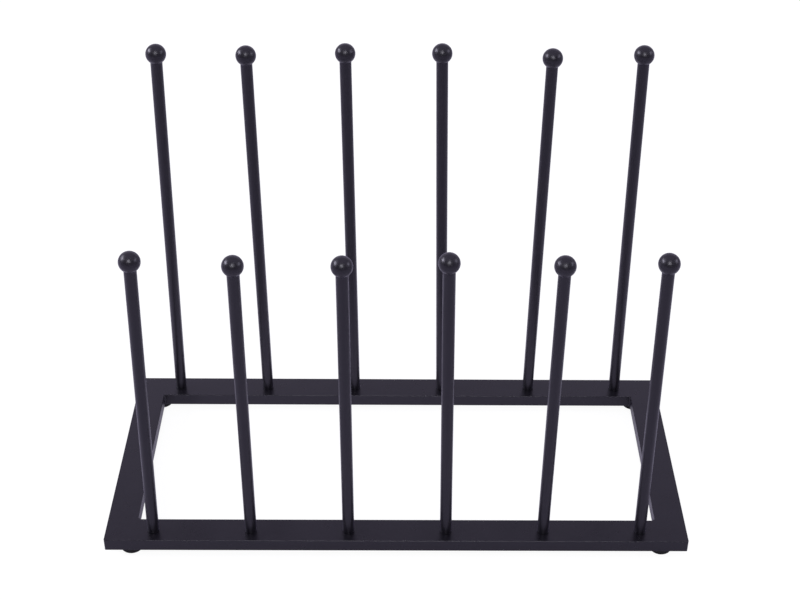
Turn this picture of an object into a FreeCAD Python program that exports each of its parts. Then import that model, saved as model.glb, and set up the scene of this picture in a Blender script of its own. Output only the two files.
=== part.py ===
import FreeCAD, Part
import math
import os

os.makedirs("parts", exist_ok=True)

# A boot rack: a flat frame of rectangular tube on four rubber feet, with two
# rows of upright posts that each end in a ball. A boot hangs upside down on
# each post, and the back row is taller so that its boots clear the front row.
#
# Millimetres. +X runs along the rack, left to right as seen from the front,
# +Y runs from the front to the back, and +Z is up. The origin is on the floor
# under the middle of the frame.

# ---------------------------------------------------------------- the frame
FRAME_WIDTH = 600.0         # outside, along X
FRAME_DEPTH = 263.0         # outside, along Y
RAIL_WIDTH = 31.0           # the rectangular tube lies flat
RAIL_HEIGHT = 14.0
RAIL_WALL = 1.2
RAIL_EDGE_RADIUS = 0.7      # outside corners of the tube's section
WELD_RADIUS = 2.0           # bead up the inside corner of each mitre

# ---------------------------------------------------------------- the posts
POSTS_PER_ROW = 6
END_TO_POST = 48.8          # from the end of the frame to the outermost post
POST_DIAMETER = 12.0
POST_WALL = 1.2
FRONT_POST_LENGTH = 324.5
BACK_POST_LENGTH = 419.0
BALL_DIAMETER = 20.5
SPIGOT_LENGTH = 12.0        # the ball's stem, pushed into the post
PLUG_LENGTH = 18.0          # the threaded plug in the post's foot
BORE_CLEARANCE = 0.1        # all round the stem and the plug

# How far each ball stands from plumb over its post's foot, left to right. The
# screw holes are wider than the screws, so no post stands dead upright.
FRONT_SWAY_RIGHT = (7.7, 0.9, -1.0, -4.0, 0.7, -4.5)
FRONT_SWAY_BACK = (2.4, -3.3, -3.1, 3.1, -0.7, 4.1)
BACK_SWAY_RIGHT = (8.3, -2.6, -4.4, -7.7, 2.0, -5.8)
BACK_SWAY_BACK = (-1.7, -3.6, 3.0, 4.6, -4.5, 4.0)

# ------------------------------------------------ the screws under the posts
SCREW_DIAMETER = 5.8        # M6, over its threads
THREAD_CLEARANCE = 0.1      # around the screw in the plug
THREAD_ENGAGEMENT = 14.0    # how far the screw runs up into the plug
SCREW_HOLE_CLEARANCE = 0.6  # around the screw in the rail
SCREW_HEAD_DIAMETER = 10.5
SCREW_HEAD_HEIGHT = 3.3
SCREW_HEAD_ROUND = 1.6
HEX_SOCKET_WIDTH = 4.0      # across the flats
HEX_SOCKET_DEPTH = 2.0
WASHER_DIAMETER = 12.5
WASHER_CLEARANCE = 0.35     # around the screw
WASHER_THICKNESS = 1.2

# ------------------------------------------------- the feet and their screws
FOOT_HEIGHT = 9.0
FOOT_TOP_DIAMETER = 25.0
FOOT_BASE_DIAMETER = 23.6
FOOT_EDGE_RADIUS = 1.5
FOOT_INSET = 25.6           # from the end of the frame to the foot's middle
FOOT_RECESS_DIAMETER = 9.6
FOOT_RECESS_DEPTH = 5.4
FOOT_WASHER_DIAMETER = 9.0
FOOT_WASHER_THICKNESS = 0.8
FOOT_SCREW_DIAMETER = 4.0
FOOT_SCREW_CLEARANCE = 0.1
FOOT_SCREW_HEAD_DIAMETER = 7.6
FOOT_SCREW_HEAD_HEIGHT = 2.4
FOOT_SCREW_HEAD_ROUND = 1.1
FOOT_SCREW_REACH = 5.0      # how far its point stands inside the rail
CROSS_WIDTH = 0.9
CROSS_LENGTH = 4.2
CROSS_DEPTH = 1.3

CHAMFER = 0.5               # on the ends of stems, plugs and screws

# --------------------------------------------------- what follows from these
UP = FreeCAD.Vector(0, 0, 1)
RAIL_BOTTOM = FOOT_HEIGHT
RAIL_TOP = RAIL_BOTTOM + RAIL_HEIGHT
ROW_Y = FRAME_DEPTH / 2 - RAIL_WIDTH / 2
FIRST_POST_X = END_TO_POST - FRAME_WIDTH / 2
POST_PITCH = (FRAME_WIDTH - 2 * END_TO_POST) / (POSTS_PER_ROW - 1)
FOOT_X = FRAME_WIDTH / 2 - FOOT_INSET

POST_RADIUS = POST_DIAMETER / 2
POST_BORE_RADIUS = POST_RADIUS - POST_WALL
BALL_RADIUS = BALL_DIAMETER / 2
# The ball is cut flat where it is as wide as the post, and stands on that.
BALL_RISE = math.sqrt(BALL_RADIUS ** 2 - POST_RADIUS ** 2)

SCREW_RADIUS = SCREW_DIAMETER / 2
SCREW_HOLE_RADIUS = SCREW_RADIUS + SCREW_HOLE_CLEARANCE
SCREW_HEAD_RADIUS = SCREW_HEAD_DIAMETER / 2
FOOT_HOLE_RADIUS = FOOT_SCREW_DIAMETER / 2 + FOOT_SCREW_CLEARANCE
FOOT_SCREW_SEAT = FOOT_RECESS_DEPTH - FOOT_WASHER_THICKNESS


def at(x, y, z):
    return FreeCAD.Vector(x, y, z)


def disc(radius, bottom, top):
    """An upright cylinder about the Z axis, between two heights."""
    return Part.makeCylinder(radius, top - bottom, at(0, 0, bottom), UP)


def ring_edges(shape, z):
    """The round edges of a shape that lie flat at one height."""
    return [edge for edge in shape.Edges
            if isinstance(edge.Curve, Part.Circle)
            and abs(edge.BoundBox.ZMin - z) < 0.001 and abs(edge.BoundBox.ZMax - z) < 0.001]


def save(name, *solids):
    """Write one node: one solid, or a group of separate ones."""
    shape = solids[0] if len(solids) == 1 else Part.makeCompound(list(solids))
    shape.exportStep("parts/%s.step" % name)


# ------------------------------------------------------------------- rails

def flat_bar(length, inset, edge_radius):
    """A bar along X with rounded long edges, its outer side at y = 0."""
    width = RAIL_WIDTH - 2 * inset
    height = RAIL_HEIGHT - 2 * inset
    bar = Part.makeBox(length, width, height, at(-length / 2, inset, RAIL_BOTTOM + inset))
    if edge_radius > 0:
        long_edges = [edge for edge in bar.Edges if edge.BoundBox.XLength > length / 2]
        bar = bar.makeFillet(edge_radius, long_edges)
    return bar


def mitred_rail(length):
    """A rectangular tube along X, cut at 45 degrees at both ends."""
    tube = flat_bar(length, 0, RAIL_EDGE_RADIUS)
    tube = tube.cut(flat_bar(length, RAIL_WALL, RAIL_EDGE_RADIUS - RAIL_WALL))
    half = length / 2
    outline = Part.makePolygon([
        at(-half, 0, RAIL_BOTTOM),
        at(half, 0, RAIL_BOTTOM),
        at(half - RAIL_WIDTH, RAIL_WIDTH, RAIL_BOTTOM),
        at(-half + RAIL_WIDTH, RAIL_WIDTH, RAIL_BOTTOM),
        at(-half, 0, RAIL_BOTTOM)])
    return tube.common(Part.Face(outline).extrude(UP * RAIL_HEIGHT))


def placed_rail(length, turn, x, y):
    rail = mitred_rail(length)
    rail.rotate(at(0, 0, 0), UP, turn)
    rail.translate(at(x, y, 0))
    return rail


def post_rail(turn, side):
    """The front (side -1) or back (side 1) rail, with its screw holes."""
    rail = placed_rail(FRAME_WIDTH, turn, 0, side * FRAME_DEPTH / 2)
    for number in range(POSTS_PER_ROW):
        hole = disc(SCREW_HOLE_RADIUS, RAIL_BOTTOM - 1, RAIL_TOP + 1)
        rail = rail.cut(hole.translated(at(post_x(number), side * ROW_Y, 0)))
    for foot_x in (-FOOT_X, FOOT_X):
        hole = disc(FOOT_HOLE_RADIUS, RAIL_BOTTOM - 1, RAIL_BOTTOM + RAIL_HEIGHT / 2)
        rail = rail.cut(hole.translated(at(foot_x, side * ROW_Y, 0)))
    return rail


def make_frame():
    save("front_rail", post_rail(0, -1))
    save("back_rail", post_rail(180, 1))
    save("left_side_rail", placed_rail(FRAME_DEPTH, -90, -FRAME_WIDTH / 2, 0))
    save("right_side_rail", placed_rail(FRAME_DEPTH, 90, FRAME_WIDTH / 2, 0))


def make_welds():
    """A quarter-round bead stands in each inside corner of the frame."""
    corner_x = FRAME_WIDTH / 2 - RAIL_WIDTH
    corner_y = FRAME_DEPTH / 2 - RAIL_WIDTH
    height = RAIL_HEIGHT - 2 * RAIL_EDGE_RADIUS
    corners = {"front_left": (-1, -1, 0), "front_right": (1, -1, 90),
               "back_right": (1, 1, 180), "back_left": (-1, 1, 270)}
    for name, (x_side, y_side, turn) in corners.items():
        bead = Part.makeCylinder(WELD_RADIUS, height, at(0, 0, RAIL_BOTTOM + RAIL_EDGE_RADIUS), UP, 90)
        bead.rotate(at(0, 0, 0), UP, turn)
        bead.translate(at(x_side * corner_x, y_side * corner_y, 0))
        save(name + "_weld", bead)


# ------------------------------------------------------------------- posts

def post_x(number):
    return FIRST_POST_X + number * POST_PITCH


def post_tube(length):
    return disc(POST_RADIUS, 0, length).cut(disc(POST_BORE_RADIUS, 0, length))


def ball(length):
    """A ball on top of a post, with the stem that goes down its bore."""
    stem = disc(POST_BORE_RADIUS - BORE_CLEARANCE, length - SPIGOT_LENGTH, length)
    stem = stem.makeChamfer(CHAMFER, ring_edges(stem, length - SPIGOT_LENGTH))
    sphere = Part.makeSphere(BALL_RADIUS, at(0, 0, length + BALL_RISE))
    below = disc(BALL_DIAMETER, length - BALL_DIAMETER, length)
    return sphere.cut(below).fuse(stem).removeSplitter()


def threaded_plug():
    plug = disc(POST_BORE_RADIUS - BORE_CLEARANCE, 0, PLUG_LENGTH)
    plug = plug.makeChamfer(CHAMFER, ring_edges(plug, PLUG_LENGTH))
    return plug.cut(disc(SCREW_RADIUS + THREAD_CLEARANCE, 0, PLUG_LENGTH))


def post_screw(seat):
    """A button-head screw whose head bears up against a seat below z = 0."""
    shank = disc(SCREW_RADIUS, -seat, THREAD_ENGAGEMENT)
    shank = shank.makeChamfer(CHAMFER, ring_edges(shank, THREAD_ENGAGEMENT))
    bottom = -seat - SCREW_HEAD_HEIGHT
    head = disc(SCREW_HEAD_RADIUS, bottom, -seat)
    head = head.makeFillet(SCREW_HEAD_ROUND, ring_edges(head, bottom))
    corner = HEX_SOCKET_WIDTH / math.sqrt(3)
    hexagon = Part.makePolygon([
        at(corner * math.cos(math.radians(turn)), corner * math.sin(math.radians(turn)), bottom)
        for turn in range(0, 361, 60)])
    socket = Part.Face(hexagon).extrude(UP * HEX_SOCKET_DEPTH)
    return head.fuse(shank).cut(socket)


class Lean:
    """Where a post stands and how it leans, from its ball's sway."""

    def __init__(self, x, y, length, sway_right, sway_back):
        self.x = x
        self.y = y
        reach = length + BALL_RISE
        sway = math.hypot(sway_right, sway_back)
        self.angle = math.asin(sway / reach)
        self.direction = at(sway_right, sway_back, math.sqrt(reach ** 2 - sway ** 2))
        # The low edge of the leaning post touches the rail.
        self.seat_z = RAIL_TOP + POST_RADIUS * math.sin(self.angle)

    def screw_seat(self):
        """From the post's foot down its axis to the head, clear of the washer."""
        tilt = (POST_RADIUS + SCREW_HEAD_RADIUS) * math.sin(self.angle)
        return (RAIL_HEIGHT + WASHER_THICKNESS + tilt) / math.cos(self.angle)

    def place(self, shape):
        """Move a shape made about the Z axis onto the post's own axis."""
        turn = FreeCAD.Rotation(UP, self.direction)
        placed = shape.copy()
        placed.Placement = FreeCAD.Placement(at(self.x, self.y, self.seat_z), turn)
        return placed

    def washer(self):
        """A flat washer under the rail, around the screw where it comes out."""
        top = RAIL_BOTTOM
        bottom = RAIL_BOTTOM - WASHER_THICKNESS
        ring = disc(WASHER_DIAMETER / 2, bottom, top)
        ring = ring.cut(disc(SCREW_RADIUS + WASHER_CLEARANCE, bottom, top))
        drop = (self.seat_z - (top + bottom) / 2) / self.direction.z
        return ring.translated(at(self.x - drop * self.direction.x,
                                  self.y - drop * self.direction.y, 0))


def make_row(row, y, length, sway_right, sway_back):
    screws = []
    washers = []
    for number in range(POSTS_PER_ROW):
        lean = Lean(post_x(number), y, length, sway_right[number], sway_back[number])
        label = "%s_%%s_%d" % (row, number + 1)
        save(label % "post", lean.place(post_tube(length)))
        save(label % "ball", lean.place(ball(length)))
        save(label % "plug", lean.place(threaded_plug()))
        screws.append(lean.place(post_screw(lean.screw_seat())))
        washers.append(lean.washer())
    save(row + "_post_screws", *screws)
    save(row + "_post_washers", *washers)


# -------------------------------------------------------------------- feet

def rubber_foot():
    """A tapered foot with a hole up its middle, recessed from below."""
    foot = Part.makeCone(FOOT_BASE_DIAMETER / 2, FOOT_TOP_DIAMETER / 2, FOOT_HEIGHT)
    foot = foot.makeFillet(FOOT_EDGE_RADIUS, ring_edges(foot, 0))
    foot = foot.cut(disc(FOOT_RECESS_DIAMETER / 2, 0, FOOT_RECESS_DEPTH))
    return foot.cut(disc(FOOT_HOLE_RADIUS, 0, FOOT_HEIGHT))


def foot_washer():
    ring = disc(FOOT_WASHER_DIAMETER / 2, FOOT_SCREW_SEAT, FOOT_RECESS_DEPTH)
    return ring.cut(disc(FOOT_HOLE_RADIUS, FOOT_SCREW_SEAT, FOOT_RECESS_DEPTH))


def foot_screw():
    """A round-head screw with a cross slot, up through the foot."""
    tip = RAIL_BOTTOM + RAIL_WALL + FOOT_SCREW_REACH
    shank = disc(FOOT_SCREW_DIAMETER / 2, FOOT_SCREW_SEAT, tip)
    shank = shank.makeChamfer(CHAMFER, ring_edges(shank, tip))
    bottom = FOOT_SCREW_SEAT - FOOT_SCREW_HEAD_HEIGHT
    head = disc(FOOT_SCREW_HEAD_DIAMETER / 2, bottom, FOOT_SCREW_SEAT)
    head = head.makeFillet(FOOT_SCREW_HEAD_ROUND, ring_edges(head, bottom))
    screw = head.fuse(shank)
    for length, width in ((CROSS_LENGTH, CROSS_WIDTH), (CROSS_WIDTH, CROSS_LENGTH)):
        slot = Part.makeBox(length, width, CROSS_DEPTH, at(-length / 2, -width / 2, bottom))
        screw = screw.cut(slot)
    return screw


def make_feet():
    corners = {"front_left": (-FOOT_X, -ROW_Y), "front_right": (FOOT_X, -ROW_Y),
               "back_left": (-FOOT_X, ROW_Y), "back_right": (FOOT_X, ROW_Y)}
    for name, (x, y) in corners.items():
        save(name + "_foot", rubber_foot().translated(at(x, y, 0)))
    places = [at(x, y, 0) for x, y in corners.values()]
    save("foot_washers", *[foot_washer().translated(place) for place in places])
    save("foot_screws", *[foot_screw().translated(place) for place in places])


make_frame()
make_welds()
make_row("front", -ROW_Y, FRONT_POST_LENGTH, FRONT_SWAY_RIGHT, FRONT_SWAY_BACK)
make_row("back", ROW_Y, BACK_POST_LENGTH, BACK_SWAY_RIGHT, BACK_SWAY_BACK)
make_feet()
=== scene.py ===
import math

import bmesh
import bpy
from mathutils import Matrix, Vector


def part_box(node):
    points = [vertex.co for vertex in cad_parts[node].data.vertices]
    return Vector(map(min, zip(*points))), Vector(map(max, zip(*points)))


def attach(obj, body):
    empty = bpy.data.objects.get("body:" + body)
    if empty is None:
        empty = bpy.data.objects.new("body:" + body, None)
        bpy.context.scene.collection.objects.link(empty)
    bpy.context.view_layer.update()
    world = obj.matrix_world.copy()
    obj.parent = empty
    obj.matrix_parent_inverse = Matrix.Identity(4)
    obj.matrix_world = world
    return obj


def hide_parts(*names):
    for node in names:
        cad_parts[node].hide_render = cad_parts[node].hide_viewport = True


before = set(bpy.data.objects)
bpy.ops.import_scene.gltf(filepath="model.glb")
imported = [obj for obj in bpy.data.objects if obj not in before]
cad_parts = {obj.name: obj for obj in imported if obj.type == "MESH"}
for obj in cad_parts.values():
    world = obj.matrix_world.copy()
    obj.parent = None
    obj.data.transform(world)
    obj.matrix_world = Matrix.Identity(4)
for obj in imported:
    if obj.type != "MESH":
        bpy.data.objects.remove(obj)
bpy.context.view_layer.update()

# A boot rack in black powder coat: a flat frame of rectangular tube on rubber
# feet, and two rows of posts that end in balls. Metres, +Z up, the front row
# towards -Y. Every visible piece is modelled here over the solid it stands for.

MM = 0.001
ROWS = ("front", "back")
POSTS_PER_ROW = 6

# ---------------------------------------------- sizes read from the solids

RAIL_LOW, RAIL_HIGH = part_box("front_rail")
RAIL_LENGTH = RAIL_HIGH.x - RAIL_LOW.x
RAIL_WIDTH = RAIL_HIGH.y - RAIL_LOW.y
RAIL_BOTTOM = RAIL_LOW.z
RAIL_TOP = RAIL_HIGH.z
RAIL_HEIGHT = RAIL_TOP - RAIL_BOTTOM
FRAME_DEPTH = -2 * RAIL_LOW.y
ROW_Y = (FRAME_DEPTH - RAIL_WIDTH) / 2
BALL_LOW, BALL_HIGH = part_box("front_ball_1")
BALL_RADIUS = (BALL_HIGH.x - BALL_LOW.x) / 2
FOOT_LOW, FOOT_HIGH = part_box("front_left_foot")
FOOT_X = -(FOOT_LOW.x + FOOT_HIGH.x) / 2
FOOT_TOP_RADIUS = (FOOT_HIGH.x - FOOT_LOW.x) / 2

# ------------------------------------------ sizes that the boxes don't say

RAIL_WALL = 1.2 * MM
RAIL_EDGE_RADIUS = 0.7 * MM
RAIL_CORNER_RADIUS = 2.0 * MM   # ground round at the corners of the frame
SCREW_HOLE_RADIUS = 3.5 * MM
FOOT_HOLE_RADIUS = 2.1 * MM
CUT_OVERRUN = 1.0 * MM          # how far a tool runs past the wall that it cuts
WELD_RADIUS = 2.0 * MM
WELD_DAB = 1.4 * MM             # from one ripple of the bead to the next
WELD_SWELL = (1.0, 0.97, 0.90, 0.97)    # the bead's width through one dab

POST_RADIUS = 6.0 * MM
POST_WALL = 1.2 * MM
POST_EDGE = 0.25 * MM           # rounding around the foot of a post
STEM_RADIUS = 4.7 * MM
STEM_LENGTH = 12.0 * MM
CHAMFER = 0.5 * MM              # at the ends of stems and screws
BALL_RISE = math.sqrt(BALL_RADIUS ** 2 - POST_RADIUS ** 2)

SCREW_RADIUS = 2.9 * MM
SCREW_ENGAGEMENT = 14.0 * MM    # its length inside the plug
SCREW_HEAD_RADIUS = 5.25 * MM
SCREW_HEAD_HEIGHT = 3.3 * MM
SCREW_HEAD_SIDE = 0.9 * MM      # the straight part of the button head
SCREW_HEAD_FLAT = 3.1 * MM      # radius of its flat
HEX_WIDTH = 4.0 * MM            # across its flats
HEX_DEPTH = 2.0 * MM
WASHER_RADIUS = 6.25 * MM
WASHER_BORE = 3.25 * MM
WASHER_THICKNESS = 1.2 * MM
WASHER_EDGE = 0.2 * MM

FOOT_BASE_RADIUS = 11.8 * MM
FOOT_EDGE_RADIUS = 1.5 * MM
FOOT_TOP_EDGE = 0.3 * MM
FOOT_RECESS_RADIUS = 4.8 * MM
FOOT_RECESS_DEPTH = 5.4 * MM
FOOT_LIP = 0.3 * MM
FOOT_SEAM_HEIGHT = 5.6 * MM     # where the mould's halves met
FOOT_SEAM_DEPTH = 0.15 * MM
FOOT_WASHER_RADIUS = 4.5 * MM
FOOT_WASHER_THICKNESS = 0.8 * MM
FOOT_SCREW_RADIUS = 2.0 * MM
FOOT_SCREW_REACH = 5.0 * MM     # past the rail's lower wall
FOOT_SCREW_HEAD_RADIUS = 3.8 * MM
FOOT_SCREW_HEAD_HEIGHT = 2.4 * MM
FOOT_SCREW_HEAD_SIDE = 0.8 * MM
FOOT_SCREW_HEAD_FLAT = 1.7 * MM
CROSS_LENGTH = 4.2 * MM
CROSS_WIDTH = 0.9 * MM
CROSS_DEPTH = 1.3 * MM

# -------------------------------------------- how finely curves are drawn

RAIL_EDGE_STEPS = 6
RAIL_CORNER_TURNS = (15, 30, 45)    # degrees from a rail's side to its corner's facets
POST_SIDES = 72
POST_EDGE_STEPS = 3
BALL_SIDES = 80
BALL_RINGS = 48
FOOT_SIDES = 72
FOOT_EDGE_STEPS = 8
SMALL_SIDES = 48                # of screws, washers and weld beads
HEAD_STEPS = 8                  # over the dome of a screw's head
DRILL_SIDES = 32

MERGE = 0.001 * MM              # points as close as this are one point
ALIGNED = 0.9                   # the cosine from which a direction counts as along an axis
SHARP_ANGLE = math.radians(35)  # edges that bend further stay sharp

# --------------------------------------------------------------- the camera

CAMERA_PLACE = (0.00099, -1.21847, 1.11680)
CAMERA_PITCH = 34.409           # degrees below the horizon
CAMERA_YAW = 1.152              # degrees to the right
CAMERA_ROLL = 0.978             # degrees
CAMERA_LENS = 66.552            # for a sensor 36 mm wide
SENSOR_WIDTH = 36.0
CAMERA_SHIFT = (-0.0302, -0.0500)


def place_camera():
    data = bpy.data.cameras.new("camera")
    data.lens = CAMERA_LENS
    data.sensor_width = SENSOR_WIDTH
    data.shift_x, data.shift_y = CAMERA_SHIFT
    camera = bpy.data.objects.new("camera", data)
    bpy.context.scene.collection.objects.link(camera)
    turn = (Matrix.Rotation(math.radians(-CAMERA_YAW), 4, "Z")
            @ Matrix.Rotation(math.radians(90 - CAMERA_PITCH), 4, "X")
            @ Matrix.Rotation(math.radians(CAMERA_ROLL), 4, "Z"))
    camera.matrix_world = Matrix.Translation(CAMERA_PLACE) @ turn
    bpy.context.scene.camera = camera


# ---------------------------------------------------------- modelling tools

def open_piece(name):
    """Name the primitive just added, put its place in its mesh, and edit it."""
    piece = bpy.context.object
    piece.name = name
    bpy.ops.object.transform_apply(location=True, rotation=True, scale=True)
    bpy.ops.object.mode_set(mode="EDIT")
    bpy.ops.mesh.select_mode(type="VERT")
    bpy.ops.mesh.select_all(action="SELECT")
    return piece


def close_piece():
    """Leave edit mode with the faces of a closed mesh pointing outwards."""
    bpy.ops.mesh.select_all(action="SELECT")
    bpy.ops.mesh.remove_doubles(threshold=MERGE)
    bpy.ops.mesh.normals_make_consistent(inside=False)
    if bmesh.from_edit_mesh(bpy.context.object.data).calc_volume(signed=True) < 0:
        bpy.ops.mesh.flip_normals()
    bpy.ops.object.mode_set(mode="OBJECT")


def add_block(name, low, high):
    middle = [(a + b) / 2 for a, b in zip(low, high)]
    size = [b - a for a, b in zip(low, high)]
    bpy.ops.mesh.primitive_cube_add(size=1, location=middle, scale=size)
    return open_piece(name)


def add_rod(name, radius, bottom, top, sides, ends="NGON"):
    """A cylinder about the Z axis."""
    bpy.ops.mesh.primitive_cylinder_add(vertices=sides, radius=radius, depth=top - bottom,
                                        location=(0, 0, (bottom + top) / 2),
                                        end_fill_type=ends)
    return open_piece(name)


def pick_edges(test):
    """Select the edges whose middle and direction pass the test."""
    bpy.ops.mesh.select_mode(type="EDGE")
    bpy.ops.mesh.select_all(action="DESELECT")
    mesh = bmesh.from_edit_mesh(bpy.context.object.data)
    for edge in mesh.edges:
        start, end = (point.co for point in edge.verts)
        edge.select_set(test((start + end) / 2, (end - start).normalized()))
    bmesh.update_edit_mesh(bpy.context.object.data)


def pick_faces(test):
    """Select the faces whose middle and normal pass the test."""
    bpy.ops.mesh.select_mode(type="FACE")
    bpy.ops.mesh.select_all(action="DESELECT")
    mesh = bmesh.from_edit_mesh(bpy.context.object.data)
    for face in mesh.faces:
        face.select_set(test(face.calc_center_median(), face.normal))
    bmesh.update_edit_mesh(bpy.context.object.data)


def slice_off(point, outwards, fill):
    """Cut the whole mesh on a plane and drop what lies outwards of it."""
    bpy.ops.mesh.select_all(action="SELECT")
    bpy.ops.mesh.bisect(plane_co=point, plane_no=outwards, use_fill=fill,
                        clear_outer=True, threshold=MERGE)


def draw_up(rise, spread, centre):
    """Extrude what is selected straight up, then widen it about a point."""
    bpy.ops.mesh.extrude_region_move(TRANSFORM_OT_translate={"value": (0, 0, rise)})
    bpy.ops.transform.resize(value=(spread, spread, 1), center_override=centre)


def apply_modifier(piece, modifier):
    bpy.context.view_layer.objects.active = piece
    bpy.ops.object.modifier_apply(modifier=modifier.name)


def thicken_inwards(piece, wall):
    """Give the open surface that is being edited a wall on its inner side."""
    bpy.ops.object.mode_set(mode="OBJECT")
    shell = piece.modifiers.new("wall", "SOLIDIFY")
    shell.thickness = wall
    shell.offset = -1
    shell.use_even_offset = True
    apply_modifier(piece, shell)
    bpy.ops.object.mode_set(mode="EDIT")


def cut_with(piece, tool):
    """Take a tool's shape out of a piece, and throw the tool away."""
    cut = piece.modifiers.new("cut", "BOOLEAN")
    cut.operation = "DIFFERENCE"
    cut.solver = "EXACT"
    cut.object = tool
    apply_modifier(piece, cut)
    bpy.data.objects.remove(tool)


def smooth(piece):
    """Round surfaces shade smooth, and flat faces beside them stay flat."""
    bpy.ops.object.select_all(action="DESELECT")
    piece.select_set(True)
    bpy.context.view_layer.objects.active = piece
    bpy.ops.object.shade_smooth_by_angle(angle=SHARP_ANGLE)
    weights = piece.modifiers.new("weights", "WEIGHTED_NORMAL")
    weights.keep_sharp = True
    apply_modifier(piece, weights)


def turned(name, profile, sides):
    """A turned piece: a circle drawn along a profile of (radius, height).

    A profile that comes back to its start makes a ring, and any other one
    makes a solid with flat ends.
    """
    radius, height = profile[0]
    bpy.ops.mesh.primitive_circle_add(vertices=sides, radius=radius, location=(0, 0, height))
    piece = open_piece(name)
    if profile[0] != profile[-1]:
        bpy.ops.mesh.edge_face_add()
    for next_radius, next_height in profile[1:]:
        draw_up(next_height - height, next_radius / radius, (0, 0, next_height))
        radius, height = next_radius, next_height
    close_piece()
    return piece


def placed_copy(master, name, place):
    """A copy with its own mesh, moved to its place in the mesh."""
    piece = master.copy()
    piece.data = master.data.copy()
    piece.name = name
    bpy.context.scene.collection.objects.link(piece)
    piece.data.transform(place)
    return piece


def joined(pieces, name):
    """Several pieces made into one."""
    bpy.ops.object.select_all(action="DESELECT")
    for piece in pieces:
        piece.select_set(True)
    bpy.context.view_layer.objects.active = pieces[0]
    bpy.ops.object.join()
    pieces[0].name = name
    return pieces[0]


def fit(piece, node, material):
    """Dress a finished piece and let it stand for its solid."""
    piece.data.materials.clear()
    piece.data.materials.append(material)
    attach(piece, "root")
    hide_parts(node)


def discard(*masters):
    for master in masters:
        bpy.data.objects.remove(master)


# ---------------------------------------------------------------- materials

BLEND_SPAN = (0.35, 0.65)       # the part of the noise over which colours blend
RANGE_SPAN = (0.3, 0.7)         # the part that a range of values spreads over

COAT_CLOUD_SCALE = 35.0         # cycles to the metre, here and below
COAT_WEAR_SCALE = 120.0
COAT_PEEL_SCALE = 700.0
COAT_WEAR = 0.03                # what the wear adds to the roughness, or takes away
COAT_TINT = (0.91, 0.87, 1.0, 1)
SHEEN_TINT = (0.70, 0.60, 1.0, 1)
SHEEN_ROUGHNESS = 0.35

RUBBER_DARK = (0.0075, 0.0070, 0.0085)
RUBBER_LIGHT = (0.012, 0.0112, 0.0135)
RUBBER_CLOUD_SCALE = 90.0
RUBBER_GRAIN_SCALE = 2600.0
RUBBER_GRAIN = 0.04 * MM
RUBBER_ROUGHNESS = 0.72
RUBBER_SPECULAR = 0.3

ZINC_DARK = (0.50, 0.52, 0.56)
ZINC_LIGHT = (0.62, 0.61, 0.57)
ZINC_CLOUD_SCALE = 400.0
ZINC_SCRATCH_SCALE = 1500.0
ZINC_SCRATCH = 0.01 * MM
ZINC_ROUGHNESS = (0.24, 0.42)

STEEL_DARK = (0.36, 0.36, 0.37)
STEEL_LIGHT = (0.46, 0.46, 0.47)
STEEL_CLOUD_SCALE = 250.0
STEEL_RING_SCALE = 900.0
STEEL_RING_WAVER = 1.5
STEEL_RING = 0.02 * MM
STEEL_ROUGHNESS = 0.35


def wire(tree, source, target):
    tree.links.new(source, target)


def set_inputs(node, values):
    """Constant values on a node's own sockets."""
    for socket, value in values.items():
        node.inputs[socket].default_value = value


def blank_material(name):
    """A material with an empty node tree."""
    material = bpy.data.materials.new(name)
    material.use_nodes = True
    material.node_tree.nodes.clear()
    return material


def show(tree, shade):
    """Make a shade the surface of its material."""
    output = tree.nodes.new("ShaderNodeOutputMaterial")
    wire(tree, shade, output.inputs["Surface"])


def new_finish(name):
    """A blank material with one shader; returns it, its tree and its shader."""
    material = blank_material(name)
    tree = material.node_tree
    shader = tree.nodes.new("ShaderNodeBsdfPrincipled")
    show(tree, shader.outputs["BSDF"])
    return material, tree, shader


def add_noise(tree, scale, detail):
    """Noise over the piece, in cycles to the metre."""
    place = tree.nodes.new("ShaderNodeTexCoord")
    noise = tree.nodes.new("ShaderNodeTexNoise")
    set_inputs(noise, {"Scale": scale, "Detail": detail})
    wire(tree, place.outputs["Object"], noise.inputs["Vector"])
    return noise.outputs["Fac"]


def add_rings(tree, scale, waver):
    """Bands across the Z axis, as a lathe leaves them."""
    place = tree.nodes.new("ShaderNodeTexCoord")
    rings = tree.nodes.new("ShaderNodeTexWave")
    rings.wave_type = "BANDS"
    rings.bands_direction = "Z"
    set_inputs(rings, {"Scale": scale, "Distortion": waver})
    wire(tree, place.outputs["Object"], rings.inputs["Vector"])
    return rings.outputs["Fac"]


def add_colours(tree, factor, dark, light, target):
    """Blend from a dark to a light colour over the middle of the noise."""
    ramp = tree.nodes.new("ShaderNodeValToRGB")
    for stop, position, colour in zip(ramp.color_ramp.elements, BLEND_SPAN, (dark, light)):
        stop.position = position
        stop.color = (*colour, 1)
    wire(tree, factor, ramp.inputs["Fac"])
    wire(tree, ramp.outputs["Color"], target)


def add_range(tree, factor, low, high, target):
    """Spread the noise between two values."""
    span = tree.nodes.new("ShaderNodeMapRange")
    set_inputs(span, {"From Min": RANGE_SPAN[0], "From Max": RANGE_SPAN[1],
                      "To Min": low, "To Max": high})
    wire(tree, factor, span.inputs["Value"])
    wire(tree, span.outputs["Result"], target)


def add_bump(tree, height, depth, shader):
    """Raise and sink the surface by up to a depth in metres."""
    bump = tree.nodes.new("ShaderNodeBump")
    set_inputs(bump, {"Strength": 1.0, "Distance": depth})
    wire(tree, height, bump.inputs["Height"])
    wire(tree, bump.outputs["Normal"], shader.inputs["Normal"])


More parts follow.
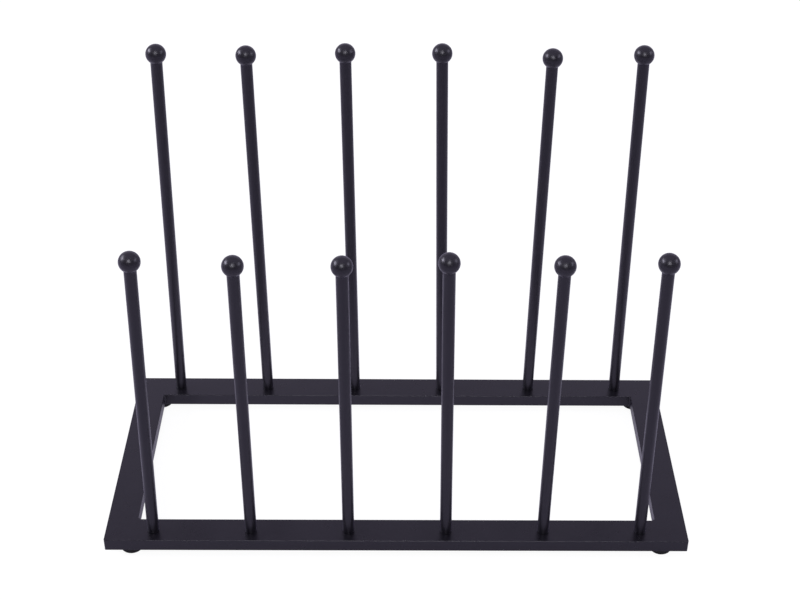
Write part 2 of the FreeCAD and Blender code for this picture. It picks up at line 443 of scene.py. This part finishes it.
def powder_coat(name, dark, light, roughness, peel_depth, specular, sheen):
    """Black powder coat: a faint cloudiness and orange peel under a satin skin."""
    material, tree, shader = new_finish(name)
    cloud = add_noise(tree, COAT_CLOUD_SCALE, detail=3)
    add_colours(tree, cloud, dark, light, shader.inputs["Base Color"])
    wear = add_noise(tree, COAT_WEAR_SCALE, detail=2)
    add_range(tree, wear, roughness - COAT_WEAR, roughness + COAT_WEAR,
              shader.inputs["Roughness"])
    peel = add_noise(tree, COAT_PEEL_SCALE, detail=2)
    add_bump(tree, peel, peel_depth, shader)
    set_inputs(shader, {"Specular IOR Level": specular, "Specular Tint": COAT_TINT,
                        "Sheen Weight": sheen, "Sheen Roughness": SHEEN_ROUGHNESS,
                        "Sheen Tint": SHEEN_TINT})
    return material


def moulded_rubber():
    """Matt black rubber with the fine grain of its mould."""
    material, tree, shader = new_finish("foot_rubber")
    cloud = add_noise(tree, RUBBER_CLOUD_SCALE, detail=4)
    add_colours(tree, cloud, RUBBER_DARK, RUBBER_LIGHT, shader.inputs["Base Color"])
    grain = add_noise(tree, RUBBER_GRAIN_SCALE, detail=3)
    add_bump(tree, grain, RUBBER_GRAIN, shader)
    set_inputs(shader, {"Roughness": RUBBER_ROUGHNESS, "Specular IOR Level": RUBBER_SPECULAR})
    return material


def zinc_plate():
    """Bright zinc with a faint passivation tint and tumbled scratches."""
    material, tree, shader = new_finish("zinc_plate")
    cloud = add_noise(tree, ZINC_CLOUD_SCALE, detail=3)
    add_colours(tree, cloud, ZINC_DARK, ZINC_LIGHT, shader.inputs["Base Color"])
    scratches = add_noise(tree, ZINC_SCRATCH_SCALE, detail=4)
    add_range(tree, scratches, *ZINC_ROUGHNESS, shader.inputs["Roughness"])
    add_bump(tree, scratches, ZINC_SCRATCH, shader)
    set_inputs(shader, {"Metallic": 1.0})
    return material


def turned_steel():
    """Plain steel with the fine rings that a lathe leaves up its length."""
    material, tree, shader = new_finish("plug_steel")
    rings = add_rings(tree, STEEL_RING_SCALE, STEEL_RING_WAVER)
    add_bump(tree, rings, STEEL_RING, shader)
    cloud = add_noise(tree, STEEL_CLOUD_SCALE, detail=3)
    add_colours(tree, cloud, STEEL_DARK, STEEL_LIGHT, shader.inputs["Base Color"])
    set_inputs(shader, {"Metallic": 1.0, "Roughness": STEEL_ROUGHNESS})
    return material


# ---------------------------------------------------------------- the frame

def mitre_ends(half_length):
    """Cut both ends of the tube at 45 degrees, and close its wall there."""
    for end in (-1, 1):
        slice_off((end * half_length, 0, 0), (end, 1, 0), fill=False)
        bpy.ops.mesh.bridge_edge_loops()


def grind_corners(half_length):
    """Round the outer corner that each mitred end brings to the frame."""
    for end in (-1, 1):
        centre = Vector((end * (half_length - RAIL_CORNER_RADIUS), RAIL_CORNER_RADIUS, 0))
        for turn in RAIL_CORNER_TURNS:
            angle = math.radians(turn)
            outwards = Vector((end * math.sin(angle), -math.cos(angle), 0))
            slice_off(centre + outwards * RAIL_CORNER_RADIUS, outwards, fill=True)


def rail(name, length):
    """Rectangular tube along X with its outer side at y = 0, mitred both ends."""
    half_length = length / 2
    piece = add_block(name, (-half_length, 0, RAIL_BOTTOM), (half_length, RAIL_WIDTH, RAIL_TOP))
    pick_edges(lambda middle, along: abs(along.x) > ALIGNED)
    bpy.ops.mesh.bevel(offset=RAIL_EDGE_RADIUS, segments=RAIL_EDGE_STEPS, affect="EDGES")
    pick_faces(lambda middle, normal: abs(normal.x) > ALIGNED)
    bpy.ops.mesh.delete(type="ONLY_FACE")
    thicken_inwards(piece, RAIL_WALL)
    mitre_ends(half_length)
    grind_corners(half_length)
    close_piece()
    return piece


def drill(piece, x, radius, bottom, top):
    """Cut a round hole on a rail's middle line."""
    tool = add_rod("drill", radius, bottom, top, DRILL_SIDES)
    close_piece()
    tool.data.transform(Matrix.Translation((x, RAIL_WIDTH / 2, 0)))
    cut_with(piece, tool)


def make_rails(coat):
    """Front and back rails, drilled alike for their screws, and the two side rails."""
    long_rail = rail("long_rail", RAIL_LENGTH)
    for number in range(1, POSTS_PER_ROW + 1):
        drill(long_rail, post_line("front", number)[0].x, SCREW_HOLE_RADIUS,
              RAIL_BOTTOM - CUT_OVERRUN, RAIL_TOP + CUT_OVERRUN)
    for x in (-FOOT_X, FOOT_X):
        drill(long_rail, x, FOOT_HOLE_RADIUS,
              RAIL_BOTTOM - CUT_OVERRUN, RAIL_BOTTOM + RAIL_HEIGHT / 2)
    smooth(long_rail)
    short_rail = rail("short_rail", FRAME_DEPTH)
    smooth(short_rail)
    half_width, half_depth = RAIL_LENGTH / 2, FRAME_DEPTH / 2
    for node, master, turn, x, y in (("front_rail", long_rail, 0, 0, -half_depth),
                                     ("back_rail", long_rail, 180, 0, half_depth),
                                     ("left_side_rail", short_rail, -90, -half_width, 0),
                                     ("right_side_rail", short_rail, 90, half_width, 0)):
        place = Matrix.Translation((x, y, 0)) @ Matrix.Rotation(math.radians(turn), 4, "Z")
        fit(placed_copy(master, node + "_tube", place), node, coat)
    discard(long_rail, short_rail)


def weld_bead():
    """A quarter-round bead up the Z axis, one ripple for each dab of weld."""
    bottom = RAIL_BOTTOM + RAIL_EDGE_RADIUS
    height = RAIL_HEIGHT - 2 * RAIL_EDGE_RADIUS
    bpy.ops.mesh.primitive_circle_add(vertices=SMALL_SIDES, radius=WELD_RADIUS,
                                      fill_type="NGON", location=(0, 0, bottom))
    piece = open_piece("weld_bead")
    slice_off((0, 0, 0), (-1, 0, 0), fill=False)
    slice_off((0, 0, 0), (0, -1, 0), fill=False)
    bpy.ops.mesh.select_all(action="SELECT")
    phases = len(WELD_SWELL)
    steps = phases * round(height / WELD_DAB)
    for step in range(1, steps + 1):
        spread = WELD_SWELL[step % phases] / WELD_SWELL[(step - 1) % phases]
        draw_up(height / steps, spread, (0, 0, bottom + height * step / steps))
    close_piece()
    smooth(piece)
    return piece


def make_welds(coat):
    """A bead up the inside corner of each mitre."""
    bead = weld_bead()
    x = RAIL_LENGTH / 2 - RAIL_WIDTH
    y = FRAME_DEPTH / 2 - RAIL_WIDTH
    for name, x_side, y_side, turn in (("front_left", -1, -1, 0), ("front_right", 1, -1, 90),
                                       ("back_right", 1, 1, 180), ("back_left", -1, 1, 270)):
        place = (Matrix.Translation((x_side * x, y_side * y, 0))
                 @ Matrix.Rotation(math.radians(turn), 4, "Z"))
        node = name + "_weld"
        fit(placed_copy(bead, node + "_bead", place), node, coat)
    discard(bead)


# ---------------------------------------------------------------- the posts

def box_middle(points):
    """The middle of the box around some points."""
    low = Vector([min(point[axis] for point in points) for axis in range(3)])
    high = Vector([max(point[axis] for point in points) for axis in range(3)])
    return (low + high) / 2


def post_line(row, number):
    """The middle of a post's foot, and the line from there to its ball."""
    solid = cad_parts["%s_post_%d" % (row, number)]
    points = [corner.co for corner in solid.data.vertices]
    lowest = min(point.z for point in points)
    foot = box_middle([point for point in points if point.z < lowest + MM])
    low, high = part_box("%s_ball_%d" % (row, number))
    centre = Vector(((low.x + high.x) / 2, (low.y + high.y) / 2, high.z - BALL_RADIUS))
    return foot, centre - foot


def post_place(row, number):
    """Turns a piece made about the Z axis onto its post's own axis."""
    foot, line = post_line(row, number)
    turn = Vector((0, 0, 1)).rotation_difference(line).to_matrix().to_4x4()
    return Matrix.Translation(foot) @ turn


def post_tube(length):
    """A tube about the Z axis, its foot at z = 0 with a rounded outer edge."""
    piece = add_rod("post_tube", POST_RADIUS, 0, length, POST_SIDES, ends="NOTHING")
    thicken_inwards(piece, POST_WALL)
    pick_edges(lambda middle, along: middle.z < MERGE
               and middle.xy.length > POST_RADIUS - POST_EDGE)
    bpy.ops.mesh.bevel(offset=POST_EDGE, segments=POST_EDGE_STEPS, affect="EDGES")
    close_piece()
    smooth(piece)
    return piece


def ball_with_stem():
    """A ball cut flat where it is as wide as the post, on a stem; its cut at z = 0."""
    bpy.ops.mesh.primitive_uv_sphere_add(segments=BALL_SIDES, ring_count=BALL_RINGS,
                                         radius=BALL_RADIUS, location=(0, 0, BALL_RISE))
    piece = open_piece("ball_with_stem")
    slice_off((0, 0, 0), (0, 0, -1), fill=True)
    pick_faces(lambda middle, normal: normal.z < -ALIGNED and abs(middle.z) < MERGE)
    bpy.ops.mesh.inset(thickness=POST_RADIUS - STEM_RADIUS)
    draw_up(CHAMFER - STEM_LENGTH, 1, (0, 0, 0))
    draw_up(-CHAMFER, 1 - CHAMFER / STEM_RADIUS, (0, 0, -STEM_LENGTH))
    close_piece()
    smooth(piece)
    return piece


def make_posts(row, coat):
    """One row of posts, which all have the same length, with their balls."""
    length = post_line(row, 1)[1].length - BALL_RISE
    tube = post_tube(length)
    ball = ball_with_stem()
    for number in range(1, POSTS_PER_ROW + 1):
        place = post_place(row, number)
        post_node = "%s_post_%d" % (row, number)
        fit(placed_copy(tube, post_node + "_tube", place), post_node, coat)
        ball_node = "%s_ball_%d" % (row, number)
        on_top = place @ Matrix.Translation((0, 0, length))
        fit(placed_copy(ball, ball_node + "_turned", on_top), ball_node, coat)
    discard(tube, ball)


# --------------------------------------------------------------- the screws

def screw_head(radius, flat, side, height):
    """Profile of a domed head that hangs below z = 0, from its flat to its seat."""
    profile = []
    for step in range(HEAD_STEPS + 1):
        angle = math.radians(90 * step / HEAD_STEPS)
        profile.append((flat + (radius - flat) * math.sin(angle),
                        -side - (height - side) * math.cos(angle)))
    return profile + [(radius, 0)]


def screw_shank(radius, reach):
    """Profile of a shank up from z = 0, chamfered at its tip."""
    return [(radius, 0), (radius, reach - CHAMFER), (radius - CHAMFER, reach)]


def button_screw():
    """A socket screw about the Z axis, its head hanging below z = 0."""
    head = screw_head(SCREW_HEAD_RADIUS, SCREW_HEAD_FLAT, SCREW_HEAD_SIDE, SCREW_HEAD_HEIGHT)
    shank = screw_shank(SCREW_RADIUS, RAIL_HEIGHT + WASHER_THICKNESS + SCREW_ENGAGEMENT)
    piece = turned("button_screw", head + shank, SMALL_SIDES)
    tool = add_rod("hex_key", HEX_WIDTH / math.sqrt(3), -SCREW_HEAD_HEIGHT - CUT_OVERRUN,
                   HEX_DEPTH - SCREW_HEAD_HEIGHT, 6)
    close_piece()
    cut_with(piece, tool)
    smooth(piece)
    return piece


def flat_washer(name, radius, bore, thickness, edge):
    """A washer about the Z axis, its top at z = 0, with its outer edges eased."""
    profile = [(bore, -thickness), (radius - edge, -thickness), (radius, edge - thickness),
               (radius, -edge), (radius - edge, 0), (bore, 0), (bore, -thickness)]
    piece = turned(name, profile, SMALL_SIDES)
    smooth(piece)
    return piece


def screw_place(row, number):
    """Along the post, with the head on the washer at the high side of the lean."""
    lean = post_line(row, number)[1].angle(Vector((0, 0, 1)))
    tilt = (POST_RADIUS + SCREW_HEAD_RADIUS) * math.sin(lean)
    seat = (RAIL_HEIGHT + WASHER_THICKNESS + tilt) / math.cos(lean)
    return post_place(row, number) @ Matrix.Translation((0, 0, -seat))


def washer_place(row, number):
    """Flat under the rail, around the screw."""
    foot, line = post_line(row, number)
    drop = foot.z - RAIL_BOTTOM + WASHER_THICKNESS / 2
    middle = foot - line * (drop / line.z)
    return Matrix.Translation((middle.x, middle.y, RAIL_BOTTOM))


def make_post_screws(row, zinc):
    """One row's screws, joined into one piece, and its washers, into another."""
    screw = button_screw()
    washer = flat_washer("post_washer", WASHER_RADIUS, WASHER_BORE, WASHER_THICKNESS,
                         WASHER_EDGE)
    screws = []
    washers = []
    for number in range(1, POSTS_PER_ROW + 1):
        screws.append(placed_copy(screw, "screw", screw_place(row, number)))
        washers.append(placed_copy(washer, "washer", washer_place(row, number)))
    for pieces, node in ((screws, row + "_post_screws"), (washers, row + "_post_washers")):
        fit(joined(pieces, node + "_set"), node, zinc)
    discard(screw, washer)


# ----------------------------------------------------------------- the feet

def rounded_base_edge():
    """Profile points around the lower edge of a foot, up to its side."""
    points = []
    for step in range(FOOT_EDGE_STEPS + 1):
        angle = math.radians(90 * step / FOOT_EDGE_STEPS - 90)
        points.append((FOOT_BASE_RADIUS + FOOT_EDGE_RADIUS * (math.cos(angle) - 1),
                       FOOT_EDGE_RADIUS * (math.sin(angle) + 1)))
    return points


def foot_side(height):
    """The radius of a foot's tapered side at a height."""
    return FOOT_BASE_RADIUS + (FOOT_TOP_RADIUS - FOOT_BASE_RADIUS) * height / RAIL_BOTTOM


def rubber_foot():
    """A tapered foot about the Z axis with a recess below and a mould seam."""
    top = RAIL_BOTTOM
    seam = FOOT_SEAM_HEIGHT
    profile = [(FOOT_HOLE_RADIUS, FOOT_RECESS_DEPTH), (FOOT_RECESS_RADIUS, FOOT_RECESS_DEPTH),
               (FOOT_RECESS_RADIUS, FOOT_LIP), (FOOT_RECESS_RADIUS + FOOT_LIP, 0)]
    profile += rounded_base_edge()
    for height, depth in ((seam - FOOT_SEAM_DEPTH, 0), (seam, FOOT_SEAM_DEPTH),
                          (seam + FOOT_SEAM_DEPTH, 0), (top - FOOT_TOP_EDGE, 0)):
        profile.append((foot_side(height) - depth, height))
    profile += [(FOOT_TOP_RADIUS - FOOT_TOP_EDGE, top), (FOOT_HOLE_RADIUS, top),
                (FOOT_HOLE_RADIUS, FOOT_RECESS_DEPTH)]
    piece = turned("rubber_foot", profile, FOOT_SIDES)
    smooth(piece)
    return piece


def cross_screw():
    """A pan-head screw about the Z axis with a cross recess, its seat at z = 0."""
    head = screw_head(FOOT_SCREW_HEAD_RADIUS, FOOT_SCREW_HEAD_FLAT, FOOT_SCREW_HEAD_SIDE,
                      FOOT_SCREW_HEAD_HEIGHT)
    grip = RAIL_BOTTOM + RAIL_WALL - FOOT_RECESS_DEPTH + FOOT_WASHER_THICKNESS
    shank = screw_shank(FOOT_SCREW_RADIUS, grip + FOOT_SCREW_REACH)
    piece = turned("cross_screw", head + shank, SMALL_SIDES)
    for length, width in ((CROSS_LENGTH, CROSS_WIDTH), (CROSS_WIDTH, CROSS_LENGTH)):
        tool = add_block("slot",
                         (-length / 2, -width / 2, -FOOT_SCREW_HEAD_HEIGHT - CUT_OVERRUN),
                         (length / 2, width / 2, CROSS_DEPTH - FOOT_SCREW_HEAD_HEIGHT))
        close_piece()
        cut_with(piece, tool)
    smooth(piece)
    return piece


def make_feet(rubber, zinc):
    """Four rubber feet, and a washer and a screw in the recess of each."""
    foot = rubber_foot()
    washer = flat_washer("foot_washer", FOOT_WASHER_RADIUS, FOOT_HOLE_RADIUS,
                         FOOT_WASHER_THICKNESS, WASHER_EDGE)
    screw = cross_screw()
    washer_top = Matrix.Translation((0, 0, FOOT_RECESS_DEPTH))
    screw_seat = Matrix.Translation((0, 0, FOOT_RECESS_DEPTH - FOOT_WASHER_THICKNESS))
    washers = []
    screws = []
    for name, x_side, y_side in (("front_left", -1, -1), ("front_right", 1, -1),
                                 ("back_left", -1, 1), ("back_right", 1, 1)):
        corner = Matrix.Translation((x_side * FOOT_X, y_side * ROW_Y, 0))
        node = name + "_foot"
        fit(placed_copy(foot, node + "_rubber", corner), node, rubber)
        washers.append(placed_copy(washer, "washer", corner @ washer_top))
        screws.append(placed_copy(screw, "screw", corner @ screw_seat))
    for pieces, node in ((washers, "foot_washers"), (screws, "foot_screws")):
        fit(joined(pieces, node + "_set"), node, zinc)
    discard(foot, washer, screw)


def dress_plugs(steel):
    """The plugs are shut inside the posts, so their solids only get a finish."""
    for row in ROWS:
        for number in range(1, POSTS_PER_ROW + 1):
            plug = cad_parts["%s_plug_%d" % (row, number)]
            plug.data.materials.clear()
            plug.data.materials.append(steel)


# --------------------------------------------------------------- the studio

WHITE = (1.0, 1.0, 1.0)
FLOOR_SIZE = 14.0               # metres; the white backdrop goes on behind its edge
FLOOR_ALBEDO = 0.5              # for the light that comes off it
SEEN_ALBEDO = 0.12              # where it is seen straight
SEEN_GLOW = 0.93
MIRRORED_WHITE = (0.88, 0.84, 1.0)      # where a gloss mirrors it
MIRRORED_ALBEDO = 0.50
MIRRORED_GLOW = 0.12
POOL_GLOW = 0.38                # painted light, added to the glow in the middle of the pool
POOL_PLACE = (-0.04, 0.18, 0)   # its middle on the floor
POOL_REACH = (1.5, 0.5, 1.0)    # metres from there to its edge
ROOM_LEVEL = 0.38               # brightness of the room's walls, where 1 is white
ROOM_SLOPE = (0.05, 0.16, 0.05)         # what is added towards +X, +Y and +Z
ROOM_COLOUR = (0.85, 0.79, 1.0)

LAMP_AIM = (0, 0, 0.2)          # the middle of the object
LAMPS = (
    # name, place, width, height, brightness, colour
    ("left_box", (-4.0, 0.45, 2.45), 2.5, 1.10, 15.6, (0.92, 0.92, 1.0)),
    ("right_box", (4.0, -0.10, 2.15), 2.05, 1.20, 4.5, (0.88, 0.88, 1.0)),
    ("camera_lamp", (0, -3.0, 2.92), 1.40, 1.40, 10.2, (0.98, 1.0, 0.99)),
    ("back_left_box", (-1.95, 5.0, 2.93), 3.4, 2.2, 0.42, ROOM_COLOUR),
    ("back_right_box", (1.95, 5.0, 2.93), 3.4, 2.2, 0.29, ROOM_COLOUR),
    ("back_high_box", (0, 4.0, 4.4), 2.1, 1.1, 0.21, ROOM_COLOUR),
    ("ceiling_box", (0, 0, 3.0), 4.2, 3.0, 0.36, ROOM_COLOUR),
    ("back_wall", (0, 5.0, 0.9), 8.0, 1.8, 0.35, ROOM_COLOUR),
)


def shade_by_ray(tree, shade, others):
    """Show some kinds of rays a shade of their own, and all the rest the first one."""
    path = tree.nodes.new("ShaderNodeLightPath")
    for ray, other in others:
        mix = tree.nodes.new("ShaderNodeMixShader")
        wire(tree, path.outputs[ray], mix.inputs["Fac"])
        wire(tree, shade, mix.inputs[1])
        wire(tree, other, mix.inputs[2])
        shade = mix.outputs["Shader"]
    return shade


def floor_shade(tree, colour, albedo, glow):
    """A matt colour that partly shines by itself, so that shadows on it stay pale."""
    shade = tree.nodes.new("ShaderNodeBsdfPrincipled")
    set_inputs(shade, {"Base Color": (*(albedo * part for part in colour), 1),
                       "Roughness": 1.0, "Specular IOR Level": 0.0,
                       "Emission Color": (*colour, 1), "Emission Strength": glow})
    return shade


def add_painted_light_pool(tree, shade, glow):
    """A painted pool of light: the glow is made stronger around the object, though no lamp
    hangs over it.
    """
    place = tree.nodes.new("ShaderNodeTexCoord")
    spread = tree.nodes.new("ShaderNodeMapping")
    spread.vector_type = "TEXTURE"
    set_inputs(spread, {"Location": POOL_PLACE, "Scale": POOL_REACH})
    pool = tree.nodes.new("ShaderNodeTexGradient")
    pool.gradient_type = "QUADRATIC_SPHERE"
    level = tree.nodes.new("ShaderNodeMath")
    level.operation = "MULTIPLY_ADD"
    set_inputs(level, {1: POOL_GLOW, 2: glow})
    wire(tree, place.outputs["Object"], spread.inputs["Vector"])
    wire(tree, spread.outputs["Vector"], pool.inputs["Vector"])
    wire(tree, pool.outputs["Fac"], level.inputs[0])
    wire(tree, level.outputs["Value"], shade.inputs["Emission Strength"])


def studio_floor():
    """Pale floor that is white where it is seen, and dimmer in a gloss, where a painted pool of
    light lies around the object.
    """
    bpy.ops.mesh.primitive_plane_add(size=FLOOR_SIZE, location=(0, 0, 0))
    floor = bpy.context.object
    floor.name = "studio_floor"
    material = blank_material("white_floor")
    tree = material.node_tree
    lit = floor_shade(tree, WHITE, FLOOR_ALBEDO, 0.0).outputs["BSDF"]
    mirrored = floor_shade(tree, MIRRORED_WHITE, MIRRORED_ALBEDO, MIRRORED_GLOW)
    # painted light: a pool of glow around the object, seen only in a gloss
    add_painted_light_pool(tree, mirrored, MIRRORED_GLOW)
    seen = floor_shade(tree, WHITE, SEEN_ALBEDO, SEEN_GLOW).outputs["BSDF"]
    show(tree, shade_by_ray(tree, lit, (("Is Glossy Ray", mirrored.outputs["BSDF"]),
                                        ("Is Transmission Ray", seen),
                                        ("Is Camera Ray", seen))))
    floor.data.materials.append(material)


def add_room_shade(tree, room):
    """Even light from the room's walls, brightest towards its back wall."""
    set_inputs(room, {"Color": (*ROOM_COLOUR, 1)})
    place = tree.nodes.new("ShaderNodeTexCoord")
    slope = tree.nodes.new("ShaderNodeVectorMath")
    slope.operation = "DOT_PRODUCT"
    set_inputs(slope, {1: ROOM_SLOPE})
    level = tree.nodes.new("ShaderNodeMath")
    level.operation = "ADD"
    set_inputs(level, {1: ROOM_LEVEL})
    wire(tree, place.outputs["Generated"], slope.inputs[0])
    wire(tree, slope.outputs["Value"], level.inputs[0])
    wire(tree, level.outputs["Value"], room.inputs["Strength"])


def add_white_backdrop(tree, room):
    """White behind the floor's edge, where it is seen straight."""
    backdrop = tree.nodes.new("ShaderNodeBackground")
    set_inputs(backdrop, {"Color": (*WHITE, 1)})
    white = backdrop.outputs["Background"]
    shade = shade_by_ray(tree, room.outputs["Background"], (("Is Transmission Ray", white),
                                                            ("Is Camera Ray", white)))
    wire(tree, shade, tree.nodes["World Output"].inputs["Surface"])


def lamp(name, place, width, height, radiance, colour):
    """A soft box of the given size and brightness, facing the object."""
    data = bpy.data.lights.new(name, "AREA")
    data.shape = "RECTANGLE"
    data.size = width
    data.size_y = height
    data.energy = radiance * math.pi * width * height
    data.color = colour
    box = bpy.data.objects.new(name, data)
    bpy.context.scene.collection.objects.link(box)
    box.location = place
    box.rotation_mode = "QUATERNION"
    box.rotation_quaternion = (Vector(LAMP_AIM) - Vector(place)).to_track_quat("-Z", "Y")


def studio_light():
    """The room around the object, and the lamps in it."""
    world = bpy.data.worlds.new("studio")
    bpy.context.scene.world = world
    world.use_nodes = True
    room = world.node_tree.nodes["Background"]
    add_room_shade(world.node_tree, room)
    add_white_backdrop(world.node_tree, room)
    for settings in LAMPS:
        lamp(*settings)


# ------------------------------------------------------ putting it together

bpy.context.scene.view_settings.view_transform = "Standard"
place_camera()
studio_floor()
studio_light()

satin_coat = powder_coat("powder_coat", dark=(0.0040, 0.0036, 0.0056),
                         light=(0.0052, 0.0046, 0.0070), roughness=0.30,
                         peel_depth=0.006 * MM, specular=0.50, sheen=0.04)
smooth_coat = powder_coat("ball_coat", dark=(0.0036, 0.0033, 0.0050),
                          light=(0.0044, 0.0040, 0.0060), roughness=0.36,
                          peel_depth=0.002 * MM, specular=0.54, sheen=0.10)
foot_rubber = moulded_rubber()
bright_zinc = zinc_plate()
plug_steel = turned_steel()

make_rails(satin_coat)
make_welds(satin_coat)
for row_name in ROWS:
    make_posts(row_name, smooth_coat)
    make_post_screws(row_name, bright_zinc)
make_feet(foot_rubber, bright_zinc)
dress_plugs(plug_steel)
